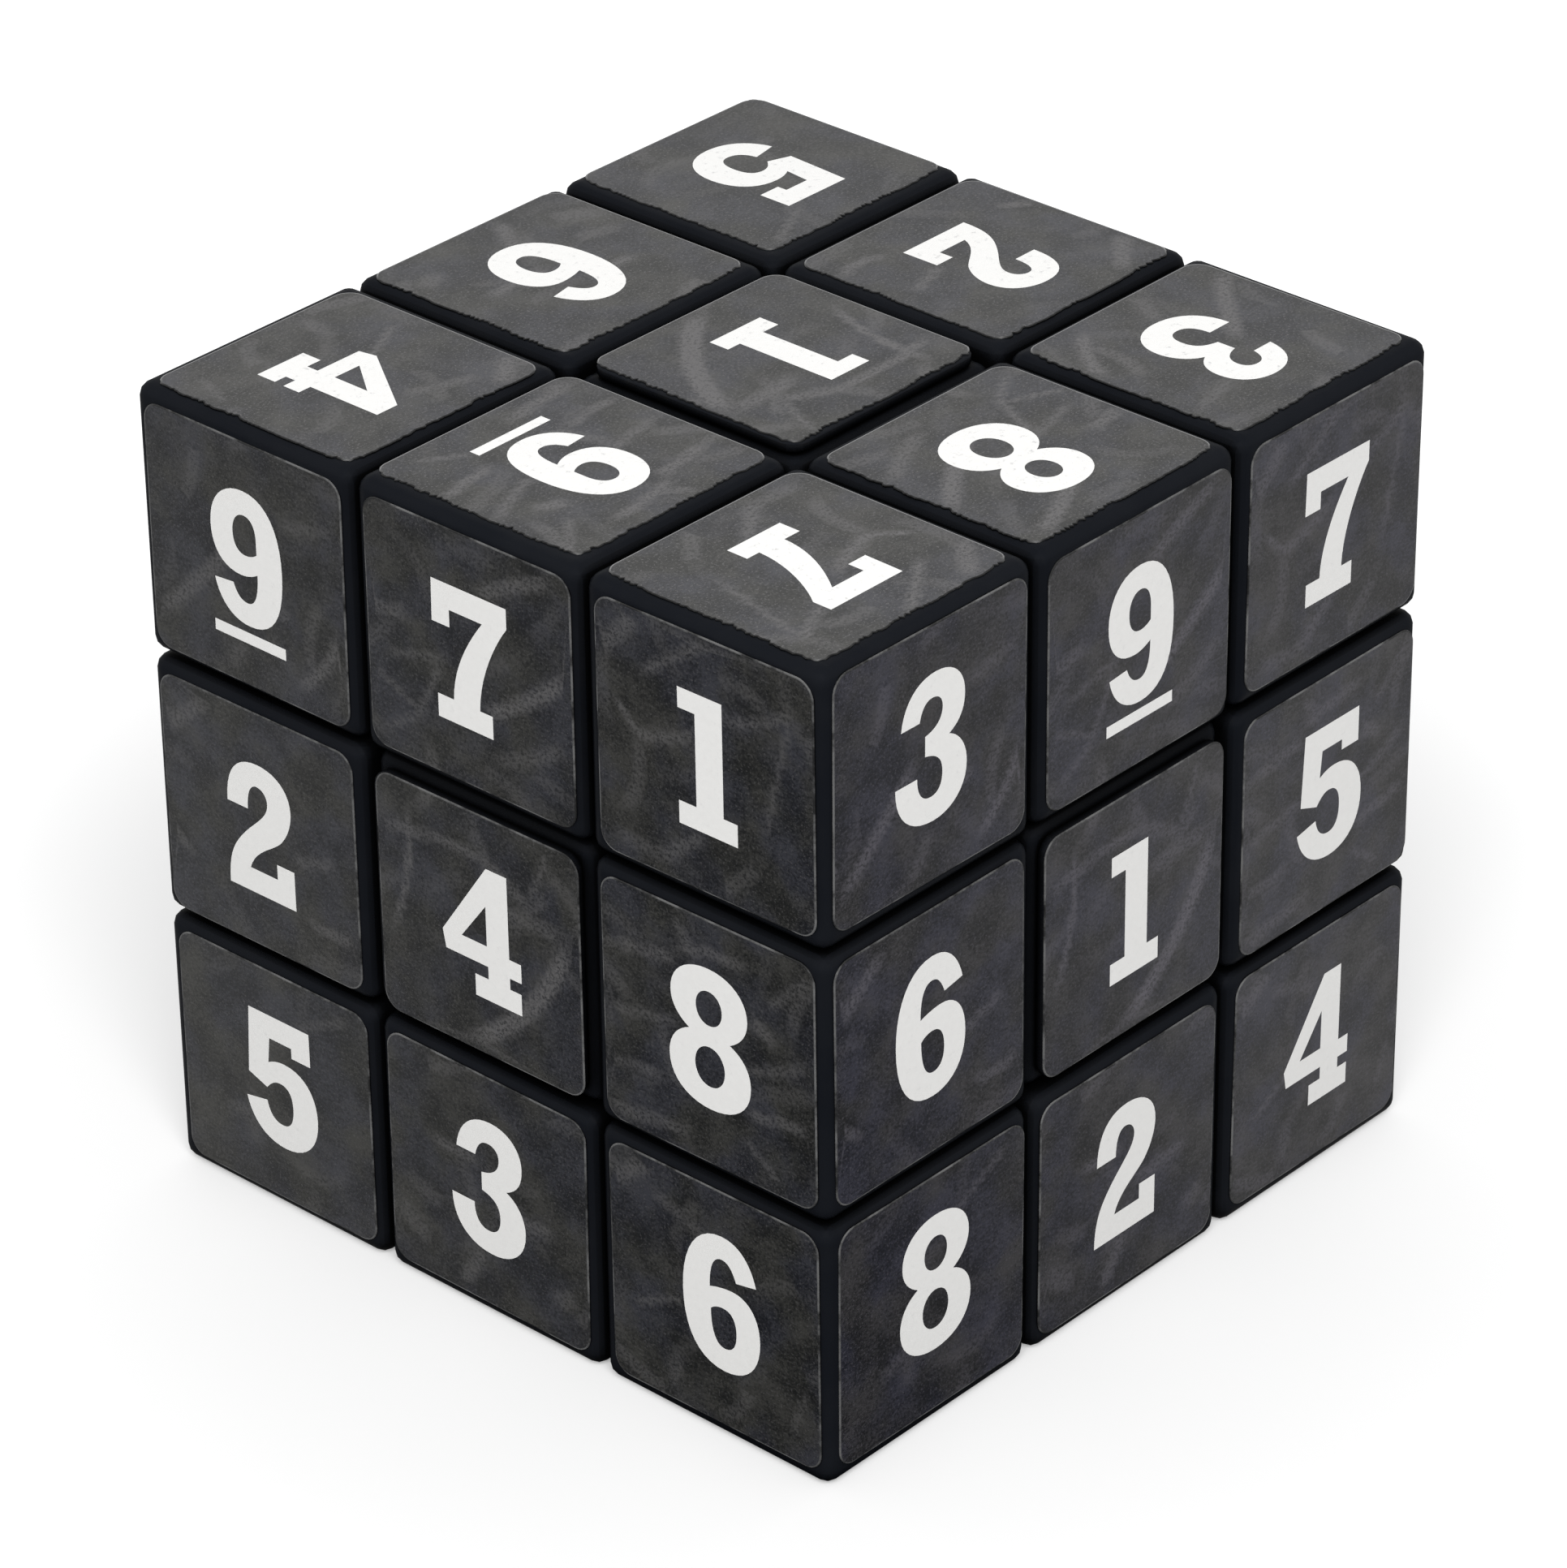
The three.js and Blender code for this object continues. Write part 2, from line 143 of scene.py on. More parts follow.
# Outlines of the slab-serif digits about the middle of the label, in millimetres.
# M starts an outline, L is a straight line to a point, and C is a curve by two handles and a point.
DIGITS = {
    "1": "M -2.25 4.65 L 1.25 4.65 L 1.25 -3 L 2.35 -3 L 2.35 -4.55 L -2.3 -4.55 L -2.3 -3 L -0.9 -3"
         " L -0.9 3.25 L -2.25 3.25",
    "2": "M -3.05 -4.6 L 2.9 -4.6 L 2.9 -1.75 L 1.35 -1.75 L 1.35 -2.85 L -1.1 -2.85"
         " C -0.6 -1.4 0.9 -0.9 1.75 -0.1 C 2.5 0.7 2.85 1.7 2.85 2.5 C 2.85 4.1 1.6 5 0 5"
         " C -1.8 5 -2.9 3.9 -2.9 1.45 L -1.05 1.45 C -1.05 2.7 -0.7 3.35 -0.15 3.35"
         " C 0.4 3.35 0.75 2.9 0.75 2.4 C 0.75 1.6 0 1 -1 0.05 C -2.5 -1.45 -3.05 -2.4 -3.05 -4.6",
    "3": "M -2.7 2.25 C -2.45 4.1 -1.3 5.15 0.4 5.15 C 2 5.15 3 4.1 3 2.75 C 3 1.6 2.5 0.9 1.6 0.5"
         " C 2.6 0.1 3.2 -0.9 3.2 -2 C 3.2 -3.7 1.9 -4.8 0.2 -4.8 C -1.9 -4.8 -3.2 -3.5 -3.2 -1.4"
         " L -1.25 -1.4 C -1.25 -2.5 -0.8 -3.1 -0.05 -3.1 C 0.65 -3.1 1 -2.6 1 -1.8"
         " C 1 -0.8 0.45 -0.4 -0.55 -0.2 L -0.55 1.15 C 0.4 1.3 1 1.8 1 2.6 C 1 3.2 0.6 3.5 0.1 3.5"
         " C -0.5 3.5 -0.85 3.1 -1.05 2.25",
    "4": "M 0.6 4.95 L 2.35 4.95 L 2.35 -0.85 L 3.35 -0.85 L 3.35 -2.2 L 2.35 -2.2 L 2.35 -3 L 3.3 -3"
         " L 3.3 -4.55 L -0.65 -4.55 L -0.65 -3 L 0.5 -3 L 0.5 -2.1 L -3.1 -2.1 L -3.35 -0.8"
         " M 0.45 2.2 L 0.45 -0.65 L -1.7 -0.65",
    "5": "M -2.7 5.15 L 2.8 5.15 L 2.8 2.65 L 1.1 2.65 L 1.1 3.4 L -0.9 3.4 L -1.1 1.5"
         " C -0.6 1.8 -0.1 1.9 0.4 1.9 C 2.2 1.9 3.25 0.6 3.25 -1.3 C 3.25 -3.3 2 -4.65 0.1 -4.65"
         " C -1.7 -4.65 -2.9 -3.6 -3.3 -1.85 L -1.4 -1.5 C -1.25 -2.4 -0.8 -2.9 -0.05 -2.9"
         " C 0.65 -2.9 1 -2.3 1 -1.3 C 1 -0.3 0.65 0.25 -0.1 0.25 C -0.55 0.25 -0.9 0.05 -1.35 -0.5"
         " L -3 0.1",
    "6": "M 2.9 2.5 C 2.5 4.1 1.6 5.15 0.15 5.15 C -2 5.15 -3.2 3 -3.2 0.1 C -3.2 -3 -2 -4.75 0.15 -4.75"
         " C 2 -4.75 3.15 -3.4 3.15 -1.4 C 3.15 0.35 2.3 1.45 0.95 1.45 C 0.3 1.45 -0.4 1.3 -0.95 1.1"
         " C -0.95 2.6 -0.6 3.45 0.1 3.45 C 0.65 3.45 0.95 3 1.25 2.2"
         " M -0.9 -0.5 C -0.6 -0.2 -0.2 -0.1 0.15 -0.1 C 0.85 -0.1 1.2 -0.7 1.2 -1.6"
         " C 1.2 -2.5 0.85 -3.05 0.2 -3.05 C -0.5 -3.05 -0.9 -2.2 -0.9 -0.5",
    "7": "M -3.1 4.8 L 3.15 4.8 L 3.15 3.4 C 2.15 2.1 0.75 -0.6 0.7 -3.05 L 1.75 -3.05 L 1.75 -4.65"
         " L -2.85 -4.65 L -2.85 -3.05 L -1.5 -3.05 C -1.45 -0.9 -0.3 1.2 1.1 3.05 L -1.65 3.05"
         " L -1.65 1.85 L -3.15 1.85",
    "8": "M 0 5.2 C 1.9 5.2 3.1 4.1 3.1 2.65 C 3.1 1.7 2.55 0.95 1.65 0.47 C 2.7 0.05 3.3 -0.8 3.3 -1.9"
         " C 3.3 -3.6 1.95 -4.7 0 -4.7 C -1.95 -4.7 -3.3 -3.6 -3.3 -1.9 C -3.3 -0.8 -2.7 0.05 -1.65 0.47"
         " C -2.55 0.95 -3.1 1.7 -3.1 2.65 C -3.1 4.1 -1.9 5.2 0 5.2"
         " M 0 3.6 C 0.6 3.6 1.05 3.1 1.05 2.4 C 1.05 1.7 0.6 1.2 0 1.2 C -0.6 1.2 -1.05 1.7 -1.05 2.4"
         " C -1.05 3.1 -0.6 3.6 0 3.6"
         " M 0 -0.3 C 0.7 -0.3 1.2 -0.9 1.2 -1.7 C 1.2 -2.5 0.7 -3.1 0 -3.1 C -0.7 -3.1 -1.2 -2.5 -1.2 -1.7"
         " C -1.2 -0.9 -0.7 -0.3 0 -0.3",
    "9": "M -0.1 5.3 C 1.95 5.3 3.1 3.5 3.1 0.5 C 3.1 -2.6 2.05 -4.15 0 -4.15"
         " C -1.5 -4.15 -2.6 -3.2 -2.95 -1.6"
         " L -1.3 -1.45 C -1.05 -2.15 -0.7 -2.55 -0.1 -2.55 C 0.55 -2.55 0.9 -1.8 0.9 -0.25"
         " C 0.4 -0.55 -0.1 -0.7 -0.6 -0.7 C -2.2 -0.7 -3.1 0.4 -3.1 2.1 C -3.1 4 -1.9 5.3 -0.1 5.3"
         " M -0.1 3.6 C 0.55 3.6 0.9 3 0.9 2.1 L 0.9 1.15 C 0.65 0.95 0.3 0.8 -0.1 0.8"
         " C -0.8 0.8 -1.15 1.4 -1.15 2.2 C -1.15 3 -0.75 3.6 -0.1 3.6"
         " M -3.15 -4.65 L 3.1 -4.65 L 3.1 -5.45 L -3.15 -5.45",
}

# Chalk strokes on the sheet that is printed the same for every face, in millimetres from the face's middle:
# start, end, how far the middle lies to the left of the straight way, width and strength
STROKES = (
    # upper left tile
    (-27.4, 12.8, -20.4, 19.6, -0.2, 1.3, 0.6), (-14.8, 11.8, -10.9, 16.6, -0.4, 1.2, 0.6),
    (-21.0, 11.0, -19.0, 14.2, 0.0, 1.5, 0.35), (-16.0, 22.6, -11.0, 24.0, 0.0, 1.0, 0.35),
    # upper middle tile
    (0.8, 23.8, 7.2, 26.9, 0.2, 1.2, 0.6), (1.2, 15.9, 8.4, 21.0, -0.4, 1.3, 0.7),
    (2.0, 13.0, 8.0, 16.0, -0.3, 1.3, 0.4), (-7.3, 11.9, -3.9, 14.0, 0.0, 0.5, 0.5),
    (-4.4, 13.6, -2.2, 18.2, 0.0, 0.8, 0.45), (-8.2, 15.9, -3.8, 14.0, 0.0, 0.45, 0.5),
    (-6.9, 17.3, -1.6, 18.7, 0.0, 0.7, 0.4), (-8.2, 20.0, -5.0, 20.6, 0.0, 1.2, 0.45),
    # upper right tile
    (10.8, 23.8, 14.0, 27.2, 0.0, 1.5, 0.5), (14.2, 23.4, 19.9, 27.4, 0.2, 0.8, 0.55),
    (12.1, 21.2, 14.6, 18.8, 0.0, 0.6, 0.5), (13.4, 19.4, 19.0, 21.2, -0.4, 1.0, 0.5),
    (20.8, 22.7, 26.4, 25.2, -0.3, 0.8, 0.5), (26.2, 25.4, 24.0, 16.0, 0.0, 0.6, 0.4),
    (15.4, 11.4, 19.3, 14.4, 0.0, 1.2, 0.45),
    # left tile
    (-27.3, 4.6, -23.4, 7.8, 0.0, 1.4, 0.55), (-16.2, -1.2, -12.4, -0.1, 0.0, 1.0, 0.45),
    (-15.1, -5.0, -11.0, -5.0, -0.4, 1.0, 0.5), (-27.4, -2.8, -25.4, -4.3, 0.0, 1.0, 0.45),
    # middle tile
    (-5.8, 6.9, -7.5, -2.6, 0.7, 0.7, 0.65), (-8.2, 4.7, 1.2, 5.4, 0.4, 1.0, 0.5),
    (-0.2, 5.7, 4.4, 3.4, 0.3, 1.1, 0.45), (6.1, 8.0, 4.2, 3.8, 0.2, 0.6, 0.5),
    (7.8, 2.4, -1.2, -8.2, 1.3, 1.6, 0.8), (1.3, 2.0, 7.4, 2.4, 0.3, 1.5, 0.45),
    # right tile
    (11.6, 4.1, 16.8, 4.9, 0.0, 1.2, 0.5), (16.2, 5.5, 22.6, 6.6, 0.3, 1.0, 0.5),
    (16.4, 7.8, 18.0, 6.2, 0.0, 1.0, 0.4), (11.0, -0.6, 16.8, 0.4, 0.0, 1.0, 0.4),
    (10.8, -4.4, 15.6, -3.8, 0.0, 0.9, 0.45), (10.8, -7.8, 17.5, -7.0, 0.0, 1.2, 0.45),
    (21.4, -0.9, 27.2, 1.5, -0.2, 0.8, 0.45), (22.2, -3.7, 27.2, -2.9, 0.0, 1.0, 0.5),
    (22.6, 3.1, 24.6, 2.1, 0.0, 1.2, 0.5), (24.0, 4.4, 27.4, 7.7, 0.0, 0.9, 0.45),
    (22.0, -5.6, 25.0, -7.6, 0.0, 0.7, 0.4),
    # lower left tile
    (-17.2, -14.0, -12.0, -11.4, 0.0, 0.7, 0.45), (-23.6, -22.5, -21.2, -22.0, 0.0, 1.0, 0.35),
    # lower middle tile
    (-4.7, -17.1, -0.6, -17.1, 0.0, 1.0, 0.55), (0.2, -20.2, 5.9, -19.9, 0.0, 1.2, 0.5),
    (-7.3, -20.8, -4.1, -21.6, 0.0, 1.5, 0.35), (-8.2, -23.2, -5.2, -25.0, 0.0, 1.8, 0.35),
    (-0.5, -23.6, -2.5, -27.0, 0.0, 1.3, 0.5), (5.5, -24.7, 7.5, -23.9, 0.0, 1.6, 0.35),
    # lower right tile
    (10.8, -13.2, 14.0, -10.8, 0.0, 1.6, 0.5), (14.2, -12.6, 19.0, -14.4, 0.0, 1.2, 0.35),
    (12.4, -21.7, 16.8, -19.5, 0.0, 0.6, 0.5), (15.6, -26.8, 16.3, -23.4, 0.0, 1.3, 0.35),
    (25.6, -25.4, 27.0, -21.9, 0.0, 0.7, 0.35),
)

STROKE_CORE = 1.5  # strength on a stroke's line before it is cut to 1, so that the stroke is even near it
STROKE_REACH = 1.1  # where a stroke ends, against half of its length
STROKE_FADE = 0.4

# The camera, fitted to the grooves and label edges in the photograph
IMAGE_WIDTH = 1931
FOCAL_PIXELS = 8252
SENSOR = 36
CLIP_START = 0.01
AZIMUTH, ELEVATION, ROLL = 42.3, 30.1, -0.675
DISTANCE, SIDESTEP, RISE = 429.3, -0.34, -1.66


def add_object(name, data):
    """A new object in the scene, at the origin."""
    made = bpy.data.objects.new(name, data)
    bpy.context.scene.collection.objects.link(made)
    return made


def make_camera():
    """A camera whose back, right and up are turned by azimuth, elevation and roll about the cube's middle."""
    azimuth, elevation = math.radians(AZIMUTH), math.radians(ELEVATION)
    level = math.cos(elevation)
    back = Vector((math.sin(azimuth) * level, -math.cos(azimuth) * level, math.sin(elevation)))
    flat_right = Vector((math.cos(azimuth), math.sin(azimuth), 0))
    roll = Matrix.Rotation(math.radians(ROLL), 3, back)
    right = roll @ flat_right
    up = roll @ back.cross(flat_right)
    eye = (back * DISTANCE + right * SIDESTEP + up * RISE) * MM
    data = bpy.data.cameras.new("camera")
    data.sensor_fit = "HORIZONTAL"
    data.sensor_width = SENSOR
    data.lens = FOCAL_PIXELS / IMAGE_WIDTH * SENSOR
    data.clip_start = CLIP_START
    camera = add_object("camera", data)
    camera.matrix_world = Matrix.Translation(eye) @ Matrix((right, up, back)).transposed().to_4x4()
    bpy.context.scene.camera = camera


# Helpers that build node trees

NOISE_RANGE = (0.3, 0.7)


def connect(tree, node, values):
    """Links each named input of a node to its socket, or sets its value."""
    for name, value in values.items():
        if isinstance(value, bpy.types.NodeSocket):
            tree.links.new(value, node.inputs[name])
        else:
            node.inputs[name].default_value = value


def add(tree, kind, values=None, **settings):
    """A node with its settings, and its inputs set to a value or linked to a socket."""
    made = tree.nodes.new(kind)
    for name, value in settings.items():
        setattr(made, name, value)
    connect(tree, made, values or {})
    return made


def calc(tree, operation, *values, clamp=False):
    """The result of a Math node on sockets or numbers."""
    made = add(tree, "ShaderNodeMath", dict(enumerate(values)), operation=operation, use_clamp=clamp)
    return made.outputs[0]


def weigh(tree, first, second, share):
    """A share of the first value and the rest of the second."""
    rest = calc(tree, "MULTIPLY", second, 1 - share)
    return calc(tree, "ADD", calc(tree, "MULTIPLY", first, share), rest)


def ramp(tree, value, low, high, start=0.0, end=1.0):
    """A value carried smoothly from low..high to start..end."""
    inputs = {"Value": value, "From Min": low, "From Max": high, "To Min": start, "To Max": end}
    made = add(tree, "ShaderNodeMapRange", inputs, interpolation_type="SMOOTHSTEP")
    return made.outputs[0]


def blend(tree, factor, low, high, way="MIX"):
    """A colour mixed from low to high by a factor."""
    made = add(tree, "ShaderNodeMix", {0: factor, 6: low, 7: high}, data_type="RGBA", blend_type=way)
    return made.outputs[2]


def dot(tree, vector, way):
    """How far a vector goes along a way."""
    made = add(tree, "ShaderNodeVectorMath", {0: vector, 1: way}, operation="DOT_PRODUCT")
    return made.outputs["Value"]


def grey(value):
    """A grey as a colour."""
    return (value, value, value, 1)


def noise(tree, vector, scale, detail=2.0, rough=0.5):
    """The value of a noise texture."""
    inputs = {"Vector": vector, "Scale": scale, "Detail": detail, "Roughness": rough}
    return add(tree, "ShaderNodeTexNoise", inputs).outputs[0]


def spread(tree, value, start=0.0, end=1.0):
    """The range that a noise mostly keeps to, carried to start..end."""
    return ramp(tree, value, *NOISE_RANGE, start, end)


def bump(tree, height, strength, distance, **inputs):
    """A normal that follows a height."""
    values = {"Height": height, "Strength": strength, "Distance": distance, **inputs}
    return add(tree, "ShaderNodeBump", values).outputs[0]


def object_place(tree):
    """The place on a piece, in metres in the frame."""
    return add(tree, "ShaderNodeTexCoord").outputs["Object"]


def sheet_place(tree):
    """The place on the printed sheet of a face, in millimetres from its middle."""
    sheet = add(tree, "ShaderNodeUVMap", uv_map="sheet").outputs[0]
    shifted = add(tree, "ShaderNodeVectorMath", {0: sheet, 1: (-0.5, -0.5, 0)}, operation="ADD").outputs[0]
    return add(tree, "ShaderNodeVectorMath", {0: shifted, 3: 2 * FACE}, operation="SCALE").outputs[0]


def label_value(tree, name):
    """A value that each point of a label carries."""
    return add(tree, "ShaderNodeAttribute", attribute_name=name).outputs["Fac"]


def new_group(name, inputs, outputs):
    """An empty shader node group with float or vector inputs, what it is given and its output node."""
    group = bpy.data.node_groups.new(name, "ShaderNodeTree")
    for label, value in inputs.items():
        kind = "NodeSocketVector" if value is None else "NodeSocketFloat"
        socket = group.interface.new_socket(label, in_out="INPUT", socket_type=kind)
        if value is not None:
            socket.default_value = value
    for label, kind in outputs.items():
        group.interface.new_socket(label, in_out="OUTPUT", socket_type=kind)
    return group, group.nodes.new("NodeGroupInput").outputs, group.nodes.new("NodeGroupOutput")


def use_group(tree, group, values):
    """The outputs of a node group that is placed in a tree."""
    return add(tree, "ShaderNodeGroup", values, node_tree=group).outputs


def new_material(name):
    """A new material, its node tree and its shader."""
    material = bpy.data.materials.new(name)
    material.use_nodes = True
    tree = material.node_tree
    return material, tree, tree.nodes["Principled BSDF"]


# Effects that are placed in materials

def rub_strokes_group():
    """Short curved chalk strokes: one in each cell of a Voronoi pattern, turned and bent at random."""
    names = {"Vector": None, "Spacing": 6.0, "Length": 4.0, "Width": 0.8, "Bend": 0.15}
    group, given, result = new_group("rub_strokes", names, {"Mask": "NodeSocketFloat"})
    scale = calc(group, "DIVIDE", 1.0, given["Spacing"])
    cells = add(group, "ShaderNodeTexVoronoi", {"Vector": given["Vector"], "Scale": scale},
                voronoi_dimensions="2D").outputs
    offset = add(group, "ShaderNodeVectorMath", {0: given["Vector"], 1: cells["Position"]},
                 operation="SUBTRACT").outputs[0]
    draw = add(group, "ShaderNodeSeparateColor", {0: cells["Color"]}).outputs
    turn = calc(group, "MULTIPLY", draw[0], 2 * math.pi)
    turned = add(group, "ShaderNodeVectorRotate", {"Vector": offset, "Angle": turn},
                 rotation_type="Z_AXIS").outputs[0]
    place = add(group, "ShaderNodeSeparateXYZ", {0: turned}).outputs
    curve = calc(group, "MULTIPLY", calc(group, "SUBTRACT", draw[1], 0.5), given["Bend"])
    bent = calc(group, "MULTIPLY_ADD", calc(group, "MULTIPLY", place[0], place[0]), curve, place[1])
    full_width = calc(group, "MULTIPLY", given["Width"], 0.3)
    full_length = calc(group, "MULTIPLY", given["Length"], 0.5)
    across = ramp(group, calc(group, "ABSOLUTE", bent), given["Width"], full_width)
    along = ramp(group, calc(group, "ABSOLUTE", place[0]), given["Length"], full_length)
    mask = calc(group, "MULTIPLY", calc(group, "MULTIPLY", across, along), draw[2])
    connect(group, result, {"Mask": mask})
    return group


def moulded_group():
    """The skin of moulded plastic: cloudy gloss, a fine grain, rubbed edges with a painted highlight, and the
    normal that rounds them.

    The occlusion output says how far the skin lies open to its surroundings, against the depths of the
    grooves, and masks the painted shade there.
    """
    names = {"Vector": None, "Rounding": 0.0005, "Reach": 0.002, "Grain": 2500.0}
    outputs = {"Cloud": "NodeSocketFloat", "Edge": "NodeSocketFloat", "Unshaded": "NodeSocketFloat",
               "Grain": "NodeSocketFloat", "Normal": "NodeSocketVector"}
    group, given, result = new_group("moulded_skin", names, outputs)
    rounded = add(group, "ShaderNodeBevel", {"Radius": given["Rounding"]}, samples=8).outputs[0]
    true = add(group, "ShaderNodeNewGeometry").outputs["True Normal"]
    edge = ramp(group, dot(group, rounded, true), 0.998, 0.93)
    patches = ramp(group, noise(group, given["Vector"], scale=700.0, detail=3.0), 0.45, 0.7)
    # Ambient occlusion: the mask of the painted shade in the grooves
    around = add(group, "ShaderNodeAmbientOcclusion", {"Distance": given["Reach"]}, samples=4).outputs["AO"]
    connect(group, result, {
        "Cloud": noise(group, given["Vector"], scale=160.0, detail=4.0, rough=0.6),
        "Edge": calc(group, "MULTIPLY", edge, patches),
        "Unshaded": ramp(group, around, 0.4, 0.95),
        "Grain": noise(group, given["Vector"], scale=given["Grain"]),
        "Normal": rounded,
    })
    return group


# The label materials

DARK_WARM, DARK_COOL = (0.0085, 0.0085, 0.007, 1), (0.0076, 0.0079, 0.0094, 1)
PALE_WARM, PALE_COOL = (0.0395, 0.0386, 0.0335, 1), (0.0345, 0.0354, 0.0415, 1)
CHALK = (0.105, 0.102, 0.1, 1)
COOL_TINT = (1.0, 0.97, 1.15, 1)
INK_DULL, INK_BRIGHT, INK_FLECK = (0.76, 0.755, 0.74, 1), (0.84, 0.835, 0.82, 1), grey(0.55)
# The rim's pale and top colours are partly the cut film and partly a painted highlight
RIM_DARK, RIM_PALE, RIM_WORN_AND_HIGHLIT, RIM_TORN = grey(0.015), grey(0.12), grey(0.2), grey(0.006)
FIBRE_SLANT = math.radians(-35)
FIBRE_STRETCH = (1, 4, 1)


def slate_grain(tree, place):
    """Fine speckle with some slanted fibre in it."""
    inputs = {"Vector": place, "Rotation": (0, 0, FIBRE_SLANT), "Scale": FIBRE_STRETCH}
    slanted = add(tree, "ShaderNodeMapping", inputs).outputs[0]
    speckle = noise(tree, place, scale=4.0, detail=4.0, rough=0.8)
    fibre = noise(tree, slanted, scale=1.1, detail=4.0, rough=0.7)
    return weigh(tree, speckle, fibre, 0.8)


def slate_ground(tree, place, grain):
    """The ground: grain and clouds from dark to pale, with a tint that drifts from warm to cool."""
    cloud = noise(tree, place, scale=0.28, detail=4.0, rough=0.6)
    tint = ramp(tree, noise(tree, place, scale=0.18, detail=3.0), 0.4, 0.6)
    dark = blend(tree, tint, DARK_WARM, DARK_COOL)
    pale = blend(tree, tint, PALE_WARM, PALE_COOL)
    return blend(tree, ramp(tree, weigh(tree, grain, cloud, 0.6), 0.41, 0.59), dark, pale)


def slate_chalk(tree, place, grain, strokes):
    """How much chalk lies on the ground: drawn strokes, fainter random ones and dust, all more with wear."""
    wear = label_value(tree, "wear")
    short = {"Vector": place, "Spacing": 5.0, "Length": 3.4, "Width": 0.8, "Bend": 0.3}
    faint = calc(tree, "MULTIPLY", use_group(tree, strokes, short)["Mask"], 0.35)
    rubbed = calc(tree, "MAXIMUM", label_value(tree, "chalk"), faint)
    speckled = calc(tree, "MULTIPLY", rubbed, ramp(tree, grain, 0.4, 0.56, start=0.2, end=1.2))
    strong = calc(tree, "MULTIPLY", speckled, calc(tree, "MULTIPLY_ADD", wear, 1.1, 0.7), clamp=True)
    dust = ramp(tree, noise(tree, place, scale=6.0, detail=1.0), 0.58, 0.7)
    dusty = calc(tree, "MULTIPLY", dust, calc(tree, "MULTIPLY_ADD", wear, 0.6, 0.2))
    return calc(tree, "MAXIMUM", strong, dusty)


def slate_print(strokes):
    """Printed slate: a dark cloudy ground with chalk on it, cooler on some faces than on others."""
    material, tree, shader = new_material("slate_print")
    place = sheet_place(tree)
    grain = slate_grain(tree, place)
    chalk = slate_chalk(tree, place, grain, strokes)
    chalked = blend(tree, chalk, slate_ground(tree, place, grain), CHALK)
    connect(tree, shader, {
        "Base Color": blend(tree, label_value(tree, "cool"), chalked, COOL_TINT, way="MULTIPLY"),
        "Roughness": ramp(tree, chalk, 0.0, 1.0, start=0.33, end=0.5),
        "Specular IOR Level": 1.0,
        "Normal": bump(tree, grain, strength=0.1, distance=0.00005),
    })
    return material


def white_ink():
    """White digit print: faintly mottled, with small grey flecks where the top of the cube is worn."""
    material, tree, shader = new_material("white_ink")
    place = sheet_place(tree)
    mottled = blend(tree, noise(tree, place, scale=2.0, detail=4.0, rough=0.7), INK_DULL, INK_BRIGHT)
    flecks = ramp(tree, noise(tree, place, scale=1.6, detail=5.0, rough=0.75), 0.56, 0.7, start=0.07, end=1.0)
    worn = calc(tree, "MULTIPLY", flecks, label_value(tree, "wear"))
    connect(tree, shader, {
        "Base Color": blend(tree, worn, mottled, INK_FLECK),
        "Roughness": spread(tree, noise(tree, place, scale=4.0, detail=3.0), start=0.45, end=0.58),
    })
    return material


def pale_rim():
    """The cut edge of a label: film that is pale in places and paler on top, partly its pale cut core and
    partly a painted highlight, and black along a torn edge.
    """
    material, tree, shader = new_material("pale_rim")
    place = sheet_place(tree)
    scuffs = ramp(tree, noise(tree, place, scale=0.3, detail=5.0, rough=0.7), 0.38, 0.62)
    worn = ramp(tree, label_value(tree, "wear"), 0.3, 1.0)
    # Painted highlight in part: the rim is paler on top, where the label edges catch the light
    film = blend(tree, worn, blend(tree, scuffs, RIM_DARK, RIM_PALE), RIM_WORN_AND_HIGHLIT)
    connect(tree, shader, {
        "Base Color": blend(tree, label_value(tree, "torn"), film, RIM_TORN),
        "Roughness": spread(tree, noise(tree, place, scale=3.0), start=0.35, end=0.55),
    })
    return material


# The finishes of the solids

# The groove black is painted shade; the rubbed edge colour is wear with a painted highlight
PAINTED_GROOVE_SHADE, RUBBED_EDGE_AND_HIGHLIGHT, METAL_BLOOM = grey(0.0012), grey(0.014), grey(0.5)


def moulded_plastic(name, skin, dark, pale, gloss, dull):
    """Moulded plastic: cloudy gloss, a fine grain, edges rubbed paler with a painted highlight, and painted
    shade in the grooves as deep black.
    """
    material, tree, shader = new_material(name)
    got = use_group(tree, skin, {"Vector": object_place(tree)})
    ground = blend(tree, ramp(tree, got["Cloud"], 0.35, 0.7), dark, pale)
    # Paler rounded edges: rubbed wear and a painted highlight
    rubbed = blend(tree, calc(tree, "MULTIPLY", got["Edge"], 0.4), ground, RUBBED_EDGE_AND_HIGHLIGHT)
    connect(tree, shader, {
        # Painted shade: deep black where the surroundings close over the grooves
        "Base Color": blend(tree, got["Unshaded"], PAINTED_GROOVE_SHADE, rubbed),
        "Roughness": spread(tree, got["Cloud"], start=gloss, end=dull),
        "Specular IOR Level": 0.04,
        "Normal": bump(tree, got["Grain"], strength=0.12, distance=0.00004, Normal=got["Normal"]),
    })
    return material


def plated_metal(name, colour, stretch):
    """Plated or drawn steel: fine streaks along the piece and a faint bloom."""
    material, tree, shader = new_material(name)
    place = object_place(tree)
    stretched = add(tree, "ShaderNodeMapping", {"Vector": place, "Scale": stretch}).outputs[0]
    streaks = noise(tree, stretched, scale=900.0, detail=3.0, rough=0.6)
    bloom = spread(tree, noise(tree, place, scale=300.0, detail=3.0))
    connect(tree, shader, {
        "Base Color": blend(tree, bloom, colour, METAL_BLOOM),
        "Metallic": 1.0,
        "Roughness": spread(tree, streaks, start=0.22, end=0.42),
    })
    return material


